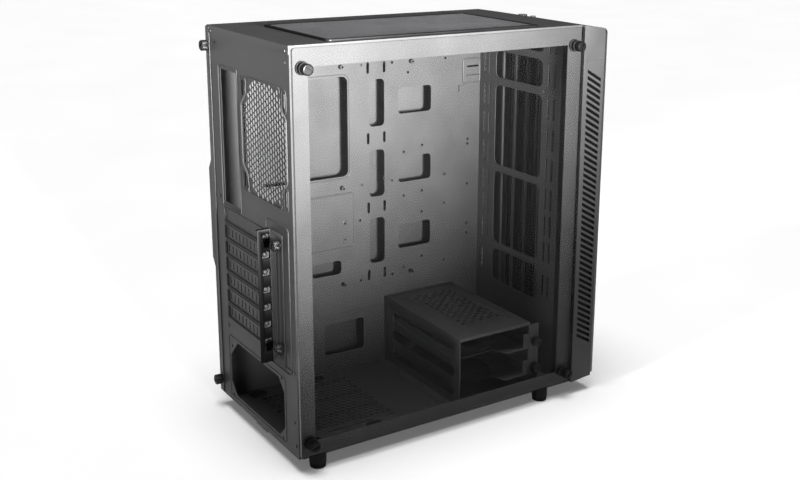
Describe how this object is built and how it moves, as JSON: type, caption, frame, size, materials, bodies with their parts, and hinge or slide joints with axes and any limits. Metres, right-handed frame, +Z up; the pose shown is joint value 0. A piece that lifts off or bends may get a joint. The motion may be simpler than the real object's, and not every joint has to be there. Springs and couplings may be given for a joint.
{
  "type": "computer tower case",
  "caption": "Empty mid-tower computer case in black steel with a clear side panel, drive cage, slot covers, filters and a slotted front.",
  "frame": {"origin": "on the ground, at the centre of the four feet", "axes": "+Z up, front towards -Y, clear side panel towards -X"},
  "size_m": [0.2415, 0.441, 0.4823],
  "materials": {
    "chassis_steel": "fine textured black powder coat",
    "black_fastener": "satin black, knurled",
    "zinc_fastener": "zinc plated",
    "rubber": "matt",
    "clear_glass": "clear tempered",
    "dark_glass": "dark polished",
    "bezel_plastic": "fine grain",
    "filter_mesh": "fine woven mesh",
    "bracket_black": "satin black",
    "circuit_board": "solder mask",
    "port_metal": "plated shell",
    "port_plastic": "moulded"
  },
  "bodies": {
    "chassis": {"rear_panel": "chassis_steel", "motherboard_tray": "chassis_steel", "floor_pan": "chassis_steel", "top_panel": "chassis_steel", "front_frame": "chassis_steel", "slot_shelf": "chassis_steel", "slot_cover_1": "chassis_steel", "slot_cover_2": "chassis_steel", "slot_cover_3": "chassis_steel", "slot_cover_4": "chassis_steel", "slot_cover_5": "chassis_steel", "slot_cover_6": "chassis_steel", "slot_cover_7": "chassis_steel", "slot_screws": "zinc_fastener", "board_standoffs": "zinc_fastener", "glass_inserts": "zinc_fastener", "glass_bumpers": "rubber", "drive_cage": "chassis_steel", "cage_flange": "chassis_steel", "cage_screws": "zinc_fastener", "filter_rails": "chassis_steel", "supply_pads": "rubber", "rear_rivets": "zinc_fastener", "foot_rear_left": "rubber", "foot_rear_right": "rubber", "foot_front_left": "rubber", "foot_front_right": "rubber"},
    "glass_panel": {"glass_side_panel": "clear_glass", "glass_washers": "rubber"},
    "steel_panel": {"steel_side_panel": "chassis_steel", "steel_panel_grip": "bezel_plastic"},
    "top_filter": {"top_filter_frame": "bezel_plastic", "top_filter_mesh": "filter_mesh"},
    "supply_filter": {"supply_filter": "bezel_plastic"},
    "bezel": {"front_bezel": "bezel_plastic", "vent_strip_left": "bezel_plastic", "vent_strip_right": "bezel_plastic", "front_glass": "dark_glass", "front_fan_filter": "bezel_plastic", "front_io_board": "circuit_board", "usb_sockets": "port_metal", "audio_jacks": "port_plastic", "front_switches": "circuit_board"},
    "power_button": {"power_button": "bezel_plastic"},
    "reset_button": {"reset_button": "bezel_plastic"},
    "sled_lower": {"drive_sled_lower": "chassis_steel", "sled_fixings_lower": "zinc_fastener"},
    "sled_upper": {"drive_sled_upper": "chassis_steel", "sled_fixings_upper": "zinc_fastener"},
    "slot_bracket": {"slot_bracket": "bracket_black"},
    "glass_thumbscrew_rear_bottom": {"glass_thumbscrew_rear_bottom": "black_fastener"},
    "glass_thumbscrew_rear_top": {"glass_thumbscrew_rear_top": "black_fastener"},
    "glass_thumbscrew_front_bottom": {"glass_thumbscrew_front_bottom": "black_fastener"},
    "glass_thumbscrew_front_top": {"glass_thumbscrew_front_top": "black_fastener"},
    "steel_panel_thumbscrew_bottom": {"steel_panel_thumbscrew_bottom": "black_fastener"},
    "steel_panel_thumbscrew_top": {"steel_panel_thumbscrew_top": "black_fastener"},
    "bracket_thumbscrew_bottom": {"bracket_thumbscrew_bottom": "black_fastener"},
    "bracket_thumbscrew_top": {"bracket_thumbscrew_top": "black_fastener"},
    "cage_thumbscrew_bottom": {"cage_thumbscrew_bottom": "black_fastener"},
    "cage_thumbscrew_top": {"cage_thumbscrew_top": "black_fastener"}
  },
  "joints": [
    {"name": "glass_panel_off", "type": "slide", "parent": "chassis", "child": "glass_panel", "axis": [-1, 0, 0], "range_m": [0, 0.03]},
    {"name": "glass_thumbscrew_rear_bottom_turn", "type": "hinge", "parent": "glass_panel", "child": "glass_thumbscrew_rear_bottom", "pos_m": [-0.112, 0.1735, 0.036], "axis": [1, 0, 0], "continuous": true},
    {"name": "glass_thumbscrew_rear_top_turn", "type": "hinge", "parent": "glass_panel", "child": "glass_thumbscrew_rear_top", "pos_m": [-0.112, 0.1735, 0.4565], "axis": [1, 0, 0], "continuous": true},
    {"name": "glass_thumbscrew_front_bottom_turn", "type": "hinge", "parent": "glass_panel", "child": "glass_thumbscrew_front_bottom", "pos_m": [-0.112, -0.1885, 0.036], "axis": [1, 0, 0], "continuous": true},
    {"name": "glass_thumbscrew_front_top_turn", "type": "hinge", "parent": "glass_panel", "child": "glass_thumbscrew_front_top", "pos_m": [-0.112, -0.1885, 0.4565], "axis": [1, 0, 0], "continuous": true},
    {"name": "steel_panel_slide", "type": "slide", "parent": "chassis", "child": "steel_panel", "axis": [0, 1, 0], "range_m": [0, 0.018]},
    {"name": "steel_panel_thumbscrew_bottom_turn", "type": "hinge", "parent": "steel_panel", "child": "steel_panel_thumbscrew_bottom", "pos_m": [0.1063, 0.188, 0.036], "axis": [0, 1, 0], "continuous": true},
    {"name": "steel_panel_thumbscrew_top_turn", "type": "hinge", "parent": "steel_panel", "child": "steel_panel_thumbscrew_top", "pos_m": [0.1063, 0.188, 0.4565], "axis": [0, 1, 0], "continuous": true},
    {"name": "top_filter_lift", "type": "slide", "parent": "chassis", "child": "top_filter", "axis": [0, 0, 1], "range_m": [0, 0.03]},
    {"name": "supply_filter_slide", "type": "slide", "parent": "chassis", "child": "supply_filter", "axis": [0, 1, 0], "range_m": [0, 0.15]},
    {"name": "bezel_pull", "type": "slide", "parent": "chassis", "child": "bezel", "axis": [0, -1, 0], "range_m": [0, 0.03]},
    {"name": "power_button_press", "type": "slide", "parent": "bezel", "child": "power_button", "axis": [0, 0, -1], "range_m": [0, 0.0015], "stiffness_N_per_m": 400, "springref_m": -0.001},
    {"name": "reset_button_press", "type": "slide", "parent": "bezel", "child": "reset_button", "axis": [0, 0, -1], "range_m": [0, 0.0015], "stiffness_N_per_m": 400, "springref_m": -0.001},
    {"name": "sled_lower_slide", "type": "slide", "parent": "chassis", "child": "sled_lower", "axis": [-1, 0, 0], "range_m": [0, 0.011]},
    {"name": "sled_upper_slide", "type": "slide", "parent": "chassis", "child": "sled_upper", "axis": [-1, 0, 0], "range_m": [0, 0.011]},
    {"name": "slot_bracket_off", "type": "slide", "parent": "chassis", "child": "slot_bracket", "axis": [0, 1, 0], "range_m": [0, 0.02]},
    {"name": "bracket_thumbscrew_bottom_turn", "type": "hinge", "parent": "slot_bracket", "child": "bracket_thumbscrew_bottom", "pos_m": [-0.072, 0.188, 0.1405], "axis": [0, 1, 0], "continuous": true},
    {"name": "bracket_thumbscrew_top_turn", "type": "hinge", "parent": "slot_bracket", "child": "bracket_thumbscrew_top", "pos_m": [-0.072, 0.188, 0.2605], "axis": [0, 1, 0], "continuous": true},
    {"name": "cage_thumbscrew_bottom_turn", "type": "hinge", "parent": "chassis", "child": "cage_thumbscrew_bottom", "pos_m": [-0.095, -0.1508, 0.0465], "axis": [1, 0, 0], "continuous": true},
    {"name": "cage_thumbscrew_top_turn", "type": "hinge", "parent": "chassis", "child": "cage_thumbscrew_top", "pos_m": [-0.095, -0.1508, 0.082], "axis": [1, 0, 0], "continuous": true}
  ]
}
